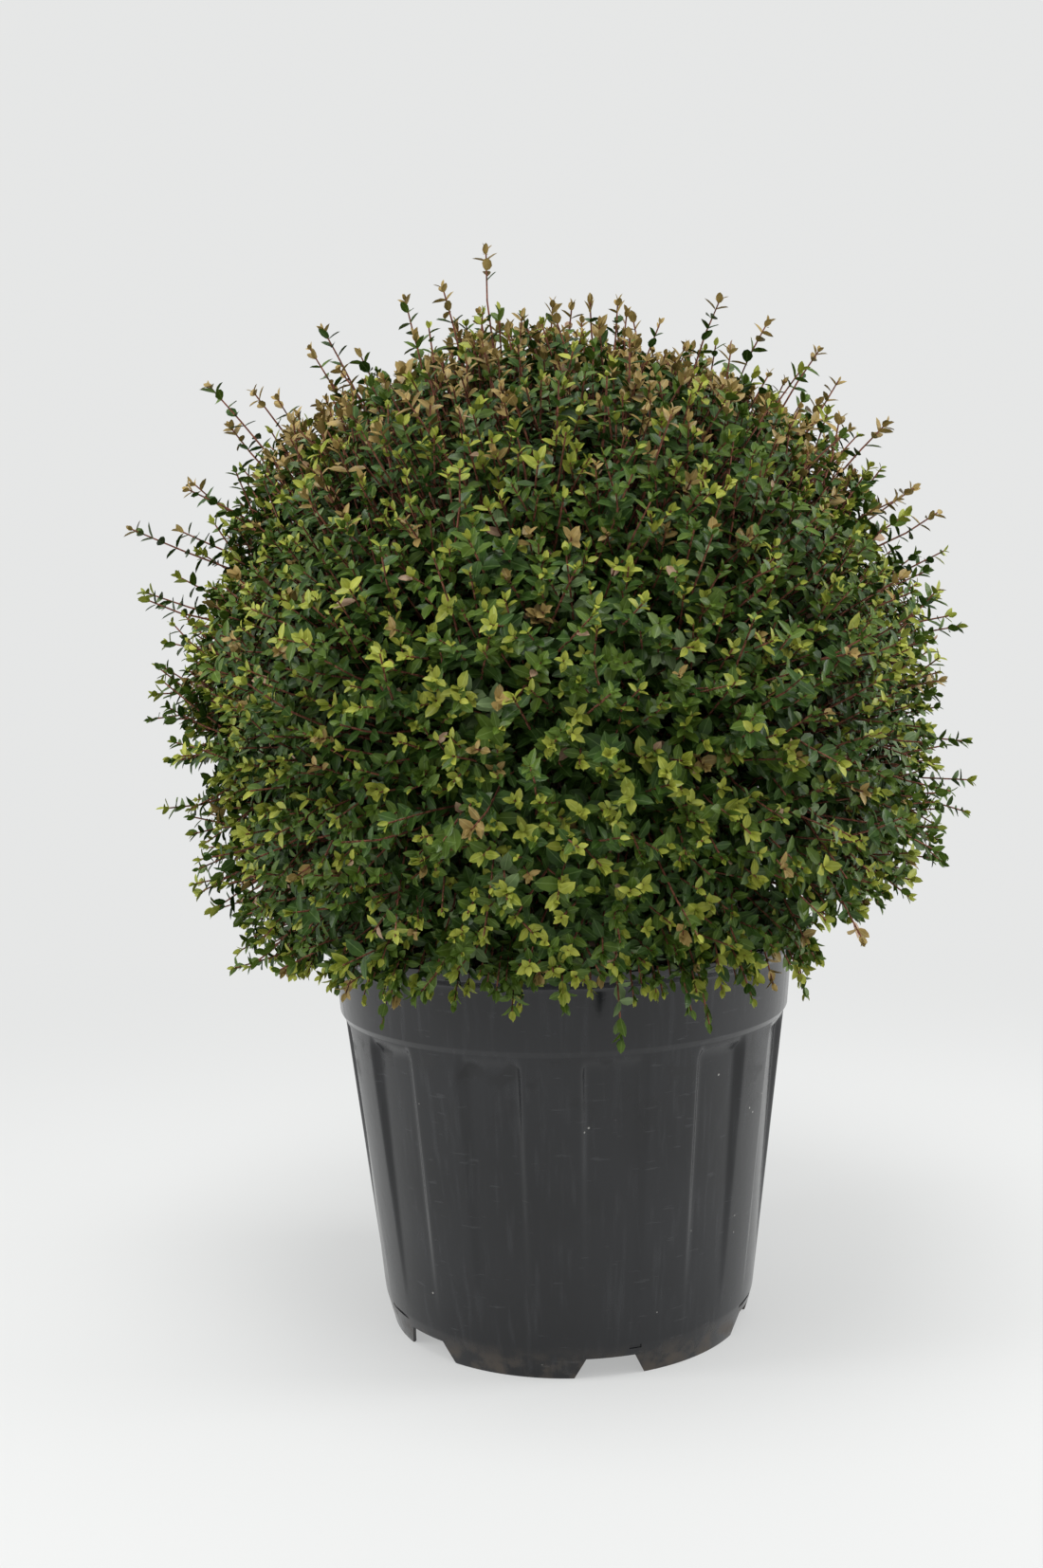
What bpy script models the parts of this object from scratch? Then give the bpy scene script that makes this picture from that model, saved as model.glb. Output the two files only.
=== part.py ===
"""Potted shrubby honeysuckle: a round, close-grown, small-leaved shrub in a fluted nursery pot.

Metres, +Z up. The origin is the centre of the pot's foot, on the ground. The front faces -Y.
The shrub is built as it grows: a short stem in the compost, one tapering bough to each mass of
foliage, and the masses packed side by side into a ball with a leafless middle.
"""
import math
import random
from collections import namedtuple

import bmesh
import bpy
from mathutils import Matrix, Vector, noise
from mathutils.bvhtree import BVHTree

SEAT_GAP = 0.0003  # left between two solids that touch
SEED = 11  # for the unevenness of masses and boughs

# Pot, a moulded shell of one wall thickness
POT_HEIGHT = 0.240
POT_WALL = 0.0018
POT_COLUMNS = 72  # six for each flute
RIM_RADIUS = 0.150
WALL_RADIUS_AT_GROUND = 0.1109  # the straight wall carried on down to the ground
WALL_TAPER = 0.1188  # growth of the wall's radius for each unit of height
COLLAR_TOP_RADIUS = 0.1385
COLLAR_TOP_HEIGHT = 0.2280
COLLAR_FOOT_RADIUS = 0.1355
COLLAR_FOOT_HEIGHT = 0.1935
SHOULDER_HEIGHT = 0.1895
FLOOR_HEIGHT = 0.0165  # top of the pot's floor
FLOOR_EDGE_INSET = 0.0010  # the floor's underside stands this much inside its top
FOOT_BREAK_HEIGHT = 0.019  # where the foot ring starts to draw in
FOOT_RADIUS = 0.108
FOOT_RING_WIDTH = 0.0022

# The flared lip from its inside over the top, drawn in from the rim's radius and height
LIP_LINE = (
    (0.0052, 0.0035),
    (0.0040, 0.0),
    (0.0012, 0.0),
    (0.0, 0.0022),
    (0.0036, 0.0080),
)

# Flutes, pressed into the wall below the shoulder and dying out above the foot
FLUTE_COUNT = 12
FLUTE_DEPTH = 0.0042
FLUTE_EDGE_HALF_ANGLE = math.radians(8.4)
FLUTE_FLOOR_HALF_ANGLE = math.radians(6.6)
FLUTE_TOP_HEIGHT = 0.1830
FLUTE_FOOT_HEIGHT = 0.026
FLUTE_AZIMUTH = math.radians(-79.5)  # middle of the flute nearest the front

# Drain notches in the foot ring, under every other flute
NOTCH_COUNT = 6
NOTCH_HEIGHT = 0.0125
NOTCH_HALF_WIDTH_TOP = 0.0140
NOTCH_HALF_WIDTH_FOOT = 0.0205
NOTCH_CUT_BELOW = 0.003  # how far the cutting block reaches past the foot ring, each way
NOTCH_CUT_OUTSIDE = 0.008
NOTCH_CUT_INSIDE = 0.012

# Compost and the short stem that stands in it
COMPOST_HEIGHT = 0.215
COMPOST_COLUMNS = 36
STEM_HEAD_HEIGHT = 0.2425
STEM_HEAD_RADIUS = 0.027
STEM_HEAD_LOWEST = math.radians(-38.0)  # where the round head passes into the neck
STEM_HEAD_STEPS = 6
STEM_FLARE_RADIUS = 0.027
STEM_COLUMNS = 20

# Crown: masses of foliage stand off this centre, at ring radii and elevations
CROWN_CENTRE = Vector((0.0, 0.0, 0.380))
MASS_COLUMNS = 12
MASS_ROWS = 8
MASS_UNEVENNESS = 0.0075
MASS_GRAIN = 0.060  # size of the hollows and swellings on a mass
MASS_VARIATION = 0.05  # of each radius of a mass, as a share
REACH_VARIATION = 0.015  # of how far a mass reaches from the crown's centre
NEIGHBOUR_REACH = 1.5  # masses further apart than this many of their radii are left alone
SKIRT_LIFT = 12.0  # degrees by which the skirt stands higher at the right than at the left
RIM_CLEARANCE = 0.003
RIM_CLEARANCE_COLUMNS = 36
RIM_CLEARANCE_DEPTH = 0.100
HEEL_DEPTH = 0.85  # where the bough meets its mass, as a share of the mass's radius

# A ring of masses: angles in degrees, radii of each mass outward, across and upright.
# rise is the slope of the bough where it meets the mass, leave its slope on the stem's head.
Ring = namedtuple("Ring", "name count first elevation stand outward across upright rise leave bough")
RINGS = (
    Ring("skirt", 8, 0.0, -35.0, 0.1700, 0.0700, 0.0860, 0.0850, 12.0, 10.0, 0.0040),
    Ring("middle", 8, 0.0, 4.0, 0.1400, 0.0880, 0.0960, 0.0850, 24.0, 36.0, 0.0045),
    Ring("upper", 6, 0.0, 42.0, 0.1460, 0.0800, 0.0980, 0.0820, 40.0, 60.0, 0.0042),
    Ring("top", 2, 75.0, 74.0, 0.1480, 0.0680, 0.0980, 0.0880, 78.0, 79.0, 0.0038),
)
BOUGH_TIP_SHARE = 0.6  # radius at the mass as a share of the radius at the stem
BOUGH_POINTS = 4  # along the bend
BOUGH_SWAY = 0.003  # sideways, at the middle of the bend
BOUGH_PULL = 0.42  # how strongly each end steers the bend, as a share of its span
BOUGH_SQUARE_END = 1.5  # straight length at each end, in radii of the bough

# Long shoots that stand out of the ball: the mass each grows from, its tip and its thickness
Shoot = namedtuple("Shoot", "name mass tip radius")
SHOOTS = (
    Shoot("shoot_top", "foliage_top_2", (-0.036, -0.020, 0.636), 0.0095),
    Shoot("shoot_left", "foliage_upper_4", (-0.2490, -0.010, 0.482), 0.0090),
    Shoot("shoot_upper_left", "foliage_upper_4", (-0.2010, -0.006, 0.565), 0.0085),
    Shoot("shoot_side_left", "foliage_middle_5", (-0.2440, -0.004, 0.445), 0.0100),
    Shoot("shoot_right", "foliage_skirt_1", (0.2470, -0.008, 0.322), 0.0110),
    Shoot("shoot_upper_right", "foliage_upper_1", (0.2170, 0.008, 0.497), 0.0100),
    Shoot("shoot_front", "foliage_middle_7", (0.018, -0.2480, 0.360), 0.0100),
    Shoot("shoot_back", "foliage_middle_3", (-0.016, 0.2480, 0.405), 0.0100),
)
SHOOT_COLUMNS = 8
SHOOT_ROWS = 5
SHOOT_BURIED = 0.25  # share of a shoot's clear length that the full spindle has below its seat
SHOOT_SEAT_DEPTH = 0.002  # of the flat on the mass that a shoot stands on


def clear_scene():
    """Remove every object that is in the scene at the start."""
    for old in list(bpy.data.objects):
        bpy.data.objects.remove(old, do_unlink=True)


def collection(name):
    """Make a collection in the scene."""
    made = bpy.data.collections.new(name)
    bpy.context.scene.collection.children.link(made)
    return made


def material(name, colour, roughness):
    """Make a plain surface, none of which is metal on this plant."""
    made = bpy.data.materials.new(name)
    made.use_nodes = True
    shader = made.node_tree.nodes["Principled BSDF"]
    shader.inputs["Base Color"].default_value = (*colour, 1.0)
    shader.inputs["Roughness"].default_value = roughness
    shader.inputs["Metallic"].default_value = 0.0
    return made


clear_scene()
PLANT = collection("potted_honeysuckle")
CUTTERS = collection("cutters")
BLACK_PLASTIC = material("black_plastic", (0.026, 0.028, 0.031), 0.42)
MOIST_COMPOST = material("moist_compost", (0.035, 0.022, 0.014), 0.95)
BARK = material("bark", (0.120, 0.062, 0.040), 0.80)
LEAVES = material("leaves", (0.060, 0.130, 0.030), 0.55)


def mesh_from(name, shape):
    """Turn a finished bmesh into a mesh with its faces outward."""
    bmesh.ops.recalc_face_normals(shape, faces=shape.faces[:])
    mesh = bpy.data.meshes.new(name)
    shape.to_mesh(mesh)
    shape.free()
    return mesh


def add_piece(name, mesh, surface, sharp_degrees):
    """Put a mesh in the plant's collection under its part name, smooth but for its edges."""
    mesh.shade_smooth()
    mesh.set_sharp_from_angle(angle=math.radians(sharp_degrees))
    mesh.materials.append(surface)
    made = bpy.data.objects.new(name, mesh)
    PLANT.objects.link(made)
    return made


def add_cutter(name, shape):
    """Turn a bmesh into a hidden cutter."""
    made = bpy.data.objects.new(name, mesh_from(name, shape))
    CUTTERS.objects.link(made)
    made.hide_render = True
    made.display_type = "WIRE"
    return made


def cut(piece, cutter):
    """Take a cutter's shape out of a piece."""
    boolean = piece.modifiers.new(cutter.name, "BOOLEAN")
    boolean.operation = "DIFFERENCE"
    boolean.solver = "EXACT"
    boolean.object = cutter


def clip(shape, point, normal):
    """Cut away what lies beyond a plane and close the cut with a flat face."""
    everything = shape.verts[:] + shape.edges[:] + shape.faces[:]
    bmesh.ops.bisect_plane(
        shape, geom=everything, dist=0.000001, plane_co=point, plane_no=normal, clear_outer=True
    )
    open_edges = [edge for edge in shape.edges if edge.is_boundary]
    if open_edges:
        bmesh.ops.holes_fill(shape, edges=open_edges, sides=0)
        bmesh.ops.remove_doubles(shape, verts=shape.verts[:], dist=0.00005)
        bmesh.ops.triangulate(shape, faces=shape.faces[:])


def turned_mesh(name, profile, columns):
    """Turn a profile of (radius, height) points about Z and return the mesh."""
    line = bpy.data.meshes.new(name)
    points = [(radius, 0.0, height) for radius, height in profile]
    edges = [(i, i + 1) for i in range(len(points) - 1)]
    line.from_pydata(points, edges, [])
    blank = bpy.data.objects.new(name, line)
    bpy.context.scene.collection.objects.link(blank)
    screw = blank.modifiers.new("turn", "SCREW")
    screw.steps = columns
    screw.render_steps = columns
    screw.use_merge_vertices = True
    screw.merge_threshold = 0.00001
    depsgraph = bpy.context.evaluated_depsgraph_get()
    mesh = bpy.data.meshes.new_from_object(blank.evaluated_get(depsgraph))
    bpy.data.objects.remove(blank, do_unlink=True)
    bpy.data.meshes.remove(line)
    mesh.name = name
    return mesh


def wall_radius(height):
    """Outer radius of the pot's straight wall, on the lands between flutes."""
    return WALL_RADIUS_AT_GROUND + WALL_TAPER * height


def pot_wall_line():
    """Outer side of the wall from the top of the collar to the foot of the flutes."""
    return [
        (COLLAR_TOP_RADIUS, COLLAR_TOP_HEIGHT),
        (COLLAR_FOOT_RADIUS, COLLAR_FOOT_HEIGHT),
        (wall_radius(SHOULDER_HEIGHT), SHOULDER_HEIGHT),
        (wall_radius(FLUTE_TOP_HEIGHT), FLUTE_TOP_HEIGHT),
        (wall_radius(FLUTE_FOOT_HEIGHT), FLUTE_FOOT_HEIGHT),
    ]


def pot_profile():
    """Closed section of the pot, from the middle of the floor up, over the rim and back under."""
    wall = pot_wall_line()
    floor_radius = wall_radius(FLOOR_HEIGHT) - POT_WALL
    under = FLOOR_HEIGHT - POT_WALL
    section = [(0.0, FLOOR_HEIGHT), (floor_radius, FLOOR_HEIGHT)]
    section += [(radius - POT_WALL, height) for radius, height in reversed(wall)]
    section += [(RIM_RADIUS - inward, POT_HEIGHT - below) for inward, below in LIP_LINE]
    section += wall
    section += [
        (wall_radius(FOOT_BREAK_HEIGHT), FOOT_BREAK_HEIGHT),
        (FOOT_RADIUS, 0.0),
        (FOOT_RADIUS - FOOT_RING_WIDTH, 0.0),
        (floor_radius - FLOOR_EDGE_INSET, under),
        (0.0, under),
    ]
    return section


def flute_columns():
    """Angles of the columns of one flute and one land, each with whether it is pressed in."""
    period = 2.0 * math.pi / FLUTE_COUNT
    return (
        (0.0, True),
        (FLUTE_FLOOR_HALF_ANGLE, True),
        (FLUTE_EDGE_HALF_ANGLE, False),
        (0.5 * period, False),
        (period - FLUTE_EDGE_HALF_ANGLE, False),
        (period - FLUTE_FLOOR_HALF_ANGLE, True),
    )


def flute_depth(height):
    """How far the floor of a flute is pressed in at a height."""
    if height > 0.5 * (FLUTE_TOP_HEIGHT + SHOULDER_HEIGHT):
        return 0.0
    share = (height - FLUTE_FOOT_HEIGHT) / (FLUTE_TOP_HEIGHT - FLUTE_FOOT_HEIGHT)
    return FLUTE_DEPTH * min(1.0, max(0.0, share))


def press_flutes(mesh):
    """Press the flutes into the turned wall, inside and outside together."""
    period = 2.0 * math.pi / FLUTE_COUNT
    columns = flute_columns()
    for vertex in mesh.vertices:
        x, y, height = vertex.co
        radius = math.hypot(x, y)
        if radius < SEAT_GAP:
            continue
        turned_column = round(math.atan2(y, x) * POT_COLUMNS / (2.0 * math.pi)) % POT_COLUMNS
        flute, place = divmod(turned_column, len(columns))
        within, pressed_in = columns[place]
        angle = FLUTE_AZIMUTH + flute * period + within
        if pressed_in:
            radius -= flute_depth(height)
        vertex.co = (radius * math.cos(angle), radius * math.sin(angle), height)


def notch_cutter():
    """Six blocks with leaning ends, standing across the foot ring."""
    shape = bmesh.new()
    lean = (NOTCH_HALF_WIDTH_FOOT - NOTCH_HALF_WIDTH_TOP) / NOTCH_HEIGHT
    half_width_below = NOTCH_HALF_WIDTH_FOOT + lean * NOTCH_CUT_BELOW
    for index in range(NOTCH_COUNT):
        turn = Matrix.Rotation(FLUTE_AZIMUTH + index * 2.0 * math.pi / NOTCH_COUNT, 4, "Z")
        block = bmesh.ops.create_cube(shape, size=1.0)["verts"]
        for vertex in block:
            at_top = vertex.co.z > 0.0
            half_width = NOTCH_HALF_WIDTH_TOP if at_top else half_width_below
            radius = FOOT_RADIUS + (NOTCH_CUT_OUTSIDE if vertex.co.x > 0.0 else -NOTCH_CUT_INSIDE)
            side = half_width if vertex.co.y > 0.0 else -half_width
            height = NOTCH_HEIGHT if at_top else -NOTCH_CUT_BELOW
            vertex.co = turn @ Vector((radius, side, height))
    return add_cutter("foot_notches", shape)


def build_pot():
    """The nursery pot: turned, pressed with flutes, and notched at the foot."""
    mesh = turned_mesh("pot", pot_profile(), POT_COLUMNS)
    press_flutes(mesh)
    pot = add_piece("pot", mesh, BLACK_PLASTIC, 25.0)
    cut(pot, notch_cutter())


def build_compost():
    """The compost, which fills the pot to below the rim and stands clear of the flutes' backs."""
    chord_slack = RIM_RADIUS * (1.0 / math.cos(math.pi / POT_COLUMNS) - 1.0)
    clear = POT_WALL + SEAT_GAP + chord_slack
    clear_of_flutes = clear + FLUTE_DEPTH
    profile = [
        (0.0, COMPOST_HEIGHT),
        (COLLAR_FOOT_RADIUS - clear, COMPOST_HEIGHT),
        (COLLAR_FOOT_RADIUS - clear, COLLAR_FOOT_HEIGHT),
        (wall_radius(FLUTE_TOP_HEIGHT) - clear_of_flutes, FLUTE_TOP_HEIGHT),
        (wall_radius(FLUTE_FOOT_HEIGHT) - clear_of_flutes, FLUTE_FOOT_HEIGHT),
        (wall_radius(FLOOR_HEIGHT) - clear_of_flutes, FLOOR_HEIGHT + SEAT_GAP),
        (0.0, FLOOR_HEIGHT + SEAT_GAP),
    ]
    add_piece("compost", turned_mesh("compost", profile, COMPOST_COLUMNS), MOIST_COMPOST, 30.0)


def build_stem():
    """The short stem: a round head that the boughs leave, drawn in below it, then a flare."""
    crown_angle = math.radians(90.0)
    profile = [(0.0, STEM_HEAD_HEIGHT + STEM_HEAD_RADIUS)]
    for step in range(1, STEM_HEAD_STEPS + 1):
        angle = crown_angle + (STEM_HEAD_LOWEST - crown_angle) * step / STEM_HEAD_STEPS
        height = STEM_HEAD_HEIGHT + STEM_HEAD_RADIUS * math.sin(angle)
        profile.append((STEM_HEAD_RADIUS * math.cos(angle), height))
    profile.append((STEM_FLARE_RADIUS, COMPOST_HEIGHT + SEAT_GAP))
    profile.append((0.0, COMPOST_HEIGHT + SEAT_GAP))
    add_piece("stem", turned_mesh("stem", profile, STEM_COLUMNS), BARK, 50.0)


def outward(azimuth, elevation):
    """Unit direction from two angles in radians."""
    flat = math.cos(elevation)
    return Vector((flat * math.cos(azimuth), flat * math.sin(azimuth), math.sin(elevation)))


class Mass:
    """One mass of foliage: a place, three radii about its own axes, and an uneven skin."""

    def __init__(self, ring, index, chance):
        self.name = f"foliage_{ring.name}_{index + 1}"
        self.bough_name = f"bough_{ring.name}_{index + 1}"
        self.ring = ring
        self.azimuth = math.radians(ring.first + index * 360.0 / ring.count)
        lift = SKIRT_LIFT * 0.5 * (1.0 + math.cos(self.azimuth)) if ring.name == "skirt" else 0.0
        axis = outward(self.azimuth, math.radians(ring.elevation + lift))
        self.side = Vector((-math.sin(self.azimuth), math.cos(self.azimuth), 0.0))
        self.turn = Matrix((axis, self.side, axis.cross(self.side))).transposed()
        radii = (ring.outward, ring.across, ring.upright)
        self.radii = Vector(
            radius * (1.0 + chance.uniform(-MASS_VARIATION, MASS_VARIATION)) for radius in radii
        )
        reach = ring.stand + ring.outward
        reach *= 1.0 + chance.uniform(-REACH_VARIATION, REACH_VARIATION)
        self.centre = CROWN_CENTRE + axis * (reach - self.radii.x)
        self.shape = self.uneven_ball()
        self.heel_slope = outward(self.azimuth, math.radians(ring.rise))
        heel_depth = HEEL_DEPTH * self.radius_towards(-self.heel_slope)
        self.heel = self.centre - self.heel_slope * heel_depth

    def radius_towards(self, direction):
        """Radius of the smooth ball in a direction."""
        local = self.turn.transposed() @ direction
        scaled = Vector(local[i] / self.radii[i] for i in range(3))
        return 1.0 / scaled.length

    def uneven_ball(self):
        """A ball of the mass's radii with swellings and hollows."""
        shape = bmesh.new()
        bmesh.ops.create_uvsphere(shape, u_segments=MASS_COLUMNS, v_segments=MASS_ROWS, radius=1.0)
        for vertex in shape.verts:
            local = Vector(vertex.co[i] * self.radii[i] for i in range(3))
            place = self.centre + self.turn @ local
            swell = noise.noise(place / MASS_GRAIN) * MASS_UNEVENNESS
            vertex.co = place + (place - self.centre).normalized() * swell
        return shape


def part_neighbours(masses):
    """Cut each pair of masses back to a plane between them, a seat gap apart."""
    for i, first in enumerate(masses):
        for second in masses[i + 1:]:
            between = second.centre - first.centre
            distance = between.length
            direction = between / distance
            near = first.radius_towards(direction)
            far = second.radius_towards(-direction)
            if distance > NEIGHBOUR_REACH * (near + far):
                continue
            place = first.centre + direction * (distance * near / (near + far))
            half_gap = direction * (0.5 * SEAT_GAP)
            clip(first.shape, place - half_gap, direction)
            clip(second.shape, place + half_gap, -direction)


def rim_clearance_cutter():
    """A plug that keeps the lowest masses on top of the pot's rim and outside it."""
    shape = bmesh.new()
    radius = (RIM_RADIUS + RIM_CLEARANCE) / math.cos(math.pi / RIM_CLEARANCE_COLUMNS)
    middle = POT_HEIGHT + SEAT_GAP - 0.5 * RIM_CLEARANCE_DEPTH
    bmesh.ops.create_cone(
        shape,
        cap_ends=True,
        segments=RIM_CLEARANCE_COLUMNS,
        radius1=radius,
        radius2=radius,
        depth=RIM_CLEARANCE_DEPTH,
        matrix=Matrix.Translation((0.0, 0.0, middle)),
    )
    return add_cutter("rim_clearance", shape)


def bough_points(mass, chance):
    """Places along a bough: square off the stem's head, a smooth bend, square on to its mass."""
    head = Vector((0.0, 0.0, STEM_HEAD_HEIGHT))
    leave = outward(mass.azimuth, math.radians(mass.ring.leave))
    start = head + leave * (STEM_HEAD_RADIUS + SEAT_GAP)
    end = mass.heel - mass.heel_slope * SEAT_GAP
    square_end = BOUGH_SQUARE_END * mass.ring.bough
    first = start + leave * square_end
    last = end - mass.heel_slope * square_end
    pull = BOUGH_PULL * (last - first).length
    lead = first + leave * pull
    follow = last - mass.heel_slope * pull
    sway = mass.side * chance.uniform(-BOUGH_SWAY, BOUGH_SWAY)
    points = [start]
    for step in range(BOUGH_POINTS):
        t = step / (BOUGH_POINTS - 1)
        s = 1.0 - t
        place = s ** 3 * first + 3 * s * s * t * lead + 3 * s * t * t * follow + t ** 3 * last
        points.append(place + sway * (4.0 * s * t) ** 2)
    points.append(end)
    return points


def build_bough(mass, chance):
    """One limb from the stem's head to its mass, tapering all the way."""
    points = bough_points(mass, chance)
    curve = bpy.data.curves.new(mass.bough_name, "CURVE")
    curve.dimensions = "3D"
    curve.bevel_depth = mass.ring.bough
    curve.bevel_resolution = 1
    curve.use_fill_caps = True
    spline = curve.splines.new("POLY")
    spline.points.add(len(points) - 1)
    for index, place in enumerate(points):
        spline.points[index].co = (*place, 1.0)
        spline.points[index].radius = 1.0 - (1.0 - BOUGH_TIP_SHARE) * index / (len(points) - 1)
    curve.materials.append(BARK)
    PLANT.objects.link(bpy.data.objects.new(mass.bough_name, curve))


def build_shoot(shoot, mass):
    """A slender tuft standing on a flat on its mass and reaching to the shoot's tip."""
    tip = Vector(shoot.tip)
    along = (tip - mass.centre).normalized()
    bmesh.ops.recalc_face_normals(mass.shape, faces=mass.shape.faces[:])
    skin = BVHTree.FromBMesh(mass.shape)
    seat, normal, _, _ = skin.ray_cast(tip, -along)
    seat -= normal * SHOOT_SEAT_DEPTH
    clip(mass.shape, seat, normal)
    half_length = 0.5 * (1.0 + SHOOT_BURIED) * (tip - seat).length
    middle = Matrix.Translation(tip - along * half_length)
    turn = along.to_track_quat("Z", "Y").to_matrix().to_4x4()
    swell = Matrix.Diagonal((shoot.radius, shoot.radius, half_length, 1.0))
    tuft = bmesh.new()
    bmesh.ops.create_uvsphere(
        tuft,
        u_segments=SHOOT_COLUMNS,
        v_segments=SHOOT_ROWS,
        radius=1.0,
        matrix=middle @ turn @ swell,
    )
    clip(tuft, seat + normal * SEAT_GAP, -normal)
    add_piece(shoot.name, mesh_from(shoot.name, tuft), LEAVES, 35.0)


def build_crown():
    """Masses of foliage, the boughs that carry them, and the shoots that stand out of them."""
    chance = random.Random(SEED)
    masses = [Mass(ring, index, chance) for ring in RINGS for index in range(ring.count)]
    part_neighbours(masses)
    for mass in masses:
        clip(mass.shape, mass.heel, -mass.heel_slope)
        build_bough(mass, chance)
    by_name = {mass.name: mass for mass in masses}
    for shoot in SHOOTS:
        build_shoot(shoot, by_name[shoot.mass])
    rim_clearance = rim_clearance_cutter()
    for mass in masses:
        made = add_piece(mass.name, mesh_from(mass.name, mass.shape), LEAVES, 35.0)
        if mass.ring.name == "skirt":
            cut(made, rim_clearance)


build_pot()
build_compost()
build_stem()
build_crown()
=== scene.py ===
import math

import bmesh
import bpy
import numpy as np
from mathutils import Matrix, Vector, noise
from mathutils.bvhtree import BVHTree


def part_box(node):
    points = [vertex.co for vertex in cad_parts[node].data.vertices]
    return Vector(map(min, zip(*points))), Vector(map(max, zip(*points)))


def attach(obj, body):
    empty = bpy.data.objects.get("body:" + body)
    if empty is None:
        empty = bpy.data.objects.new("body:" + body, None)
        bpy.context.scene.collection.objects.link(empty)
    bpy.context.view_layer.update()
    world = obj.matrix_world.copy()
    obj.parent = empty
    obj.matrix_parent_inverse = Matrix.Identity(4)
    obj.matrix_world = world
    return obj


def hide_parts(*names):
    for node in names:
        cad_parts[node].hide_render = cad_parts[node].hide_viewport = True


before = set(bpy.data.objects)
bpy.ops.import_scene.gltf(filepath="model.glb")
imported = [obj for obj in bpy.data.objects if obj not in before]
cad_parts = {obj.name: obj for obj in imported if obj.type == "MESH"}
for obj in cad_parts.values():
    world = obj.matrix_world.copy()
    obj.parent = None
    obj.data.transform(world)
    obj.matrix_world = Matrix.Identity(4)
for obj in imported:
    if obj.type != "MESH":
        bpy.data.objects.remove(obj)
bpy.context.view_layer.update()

# Camera: stands a metre in front of the pot, a little left of its axis, and looks slightly down.
# It is about one degree out of level. The Standard view keeps the pale stage pale.
CAMERA_PLACE = Vector((-0.0225, -1.0285, 0.4183))
CAMERA_DIP = 0.09056
CAMERA_ROLL = 0.02268
FOCAL_LENGTH_IN_HEIGHTS = 1800.0 / 1654.0
SENSOR_HEIGHT = 36.0

forward = Vector((0.0, math.cos(CAMERA_DIP), -math.sin(CAMERA_DIP)))
level_right = Vector((1.0, 0.0, 0.0))
level_down = forward.cross(level_right)
right = math.cos(CAMERA_ROLL) * level_right + math.sin(CAMERA_ROLL) * level_down
up = math.sin(CAMERA_ROLL) * level_right - math.cos(CAMERA_ROLL) * level_down
camera_data = bpy.data.cameras.new("camera")
camera_data.sensor_fit = "VERTICAL"
camera_data.sensor_height = SENSOR_HEIGHT
camera_data.lens = FOCAL_LENGTH_IN_HEIGHTS * SENSOR_HEIGHT
camera = bpy.data.objects.new("camera", camera_data)
camera.matrix_world = (
    Matrix.Translation(CAMERA_PLACE) @ Matrix((right, up, -forward)).transposed().to_4x4()
)
bpy.context.scene.collection.objects.link(camera)
bpy.context.scene.camera = camera
bpy.context.scene.view_settings.view_transform = "Standard"


# Pot: a thin moulded nursery pot of charcoal polypropylene with twelve flutes pressed into its
# wall, a plain collar, a flared lip and six drain notches in the foot ring. Its section is turned,
# the flutes are pressed in by a rule, and the notches and drain slits are cut out.
class Wire:
    """A socket of a material, with Python's sums standing for Math nodes."""

    def __init__(self, finish, socket):
        self.finish = finish
        self.socket = socket

    def sum_node(self, operation, first, second=0.0):
        return self.finish.node("ShaderNodeMath", {"operation": operation}, {0: first, 1: second})

    def __add__(self, other):
        return self.sum_node("ADD", self, other)

    def __radd__(self, other):
        return self.sum_node("ADD", other, self)

    def __sub__(self, other):
        return self.sum_node("SUBTRACT", self, other)

    def __rsub__(self, other):
        return self.sum_node("SUBTRACT", other, self)

    def __mul__(self, other):
        return self.sum_node("MULTIPLY", self, other)

    def __rmul__(self, other):
        return self.sum_node("MULTIPLY", other, self)

    def __abs__(self):
        return self.sum_node("ABSOLUTE", self)

    def ramp(self, low, high):
        """Rise smoothly from 0 at low to 1 at high."""
        settings = {"interpolation_type": "SMOOTHSTEP"}
        return self.finish.node(
            "ShaderNodeMapRange", settings, {"Value": self, "From Min": low, "From Max": high}
        )


class Finish:
    """A material, with one method that adds any node to it."""

    def __init__(self, name, roughness, specular=0.5):
        self.material = bpy.data.materials.new(name)
        self.material.use_nodes = True
        self.tree = self.material.node_tree
        self.shader = self.tree.nodes["Principled BSDF"]
        self.shader.inputs["Roughness"].default_value = roughness
        self.shader.inputs["Specular IOR Level"].default_value = specular
        self.place = self.node("ShaderNodeTexCoord", output="Object")

    def node(self, kind, settings=None, values=None, output=0):
        made = self.tree.nodes.new(kind)
        for name, value in (settings or {}).items():
            setattr(made, name, value)
        for name, value in (values or {}).items():
            self.feed(made.inputs[name], value)
        return Wire(self, made.outputs[output])

    def feed(self, socket, value):
        if isinstance(value, Wire):
            self.tree.links.new(value.socket, socket)
        elif isinstance(value, tuple) and len(value) == 3 and socket.type == "RGBA":
            socket.default_value = (*value, 1.0)
        else:
            socket.default_value = value

    def blend(self, share, first, second):
        """Mix two colours by a share."""
        return self.node(
            "ShaderNodeMix", {"data_type": "RGBA"}, {0: share, 6: first, 7: second}, output=2
        )

    def stretched(self, x, y, z):
        """Object coordinates scaled on each axis."""
        return self.node("ShaderNodeMapping", None, {"Vector": self.place, "Scale": (x, y, z)})

    def grain(self, scale, detail=2.0, vector=None):
        """Noise from 0 to 1, with grains of about one over the scale."""
        values = {"Vector": vector or self.place, "Scale": scale, "Detail": detail}
        return self.node("ShaderNodeTexNoise", None, values)

    def relief(self, height, depth):
        """Raise the surface by a height from 0 to 1."""
        values = {"Height": height, "Distance": depth, "Strength": 1.0}
        bump = self.node("ShaderNodeBump", None, values)
        self.feed(self.shader.inputs["Normal"], bump)

    def colour(self, value):
        self.feed(self.shader.inputs["Base Color"], value)

    def roughness(self, value):
        self.feed(self.shader.inputs["Roughness"], value)


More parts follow.
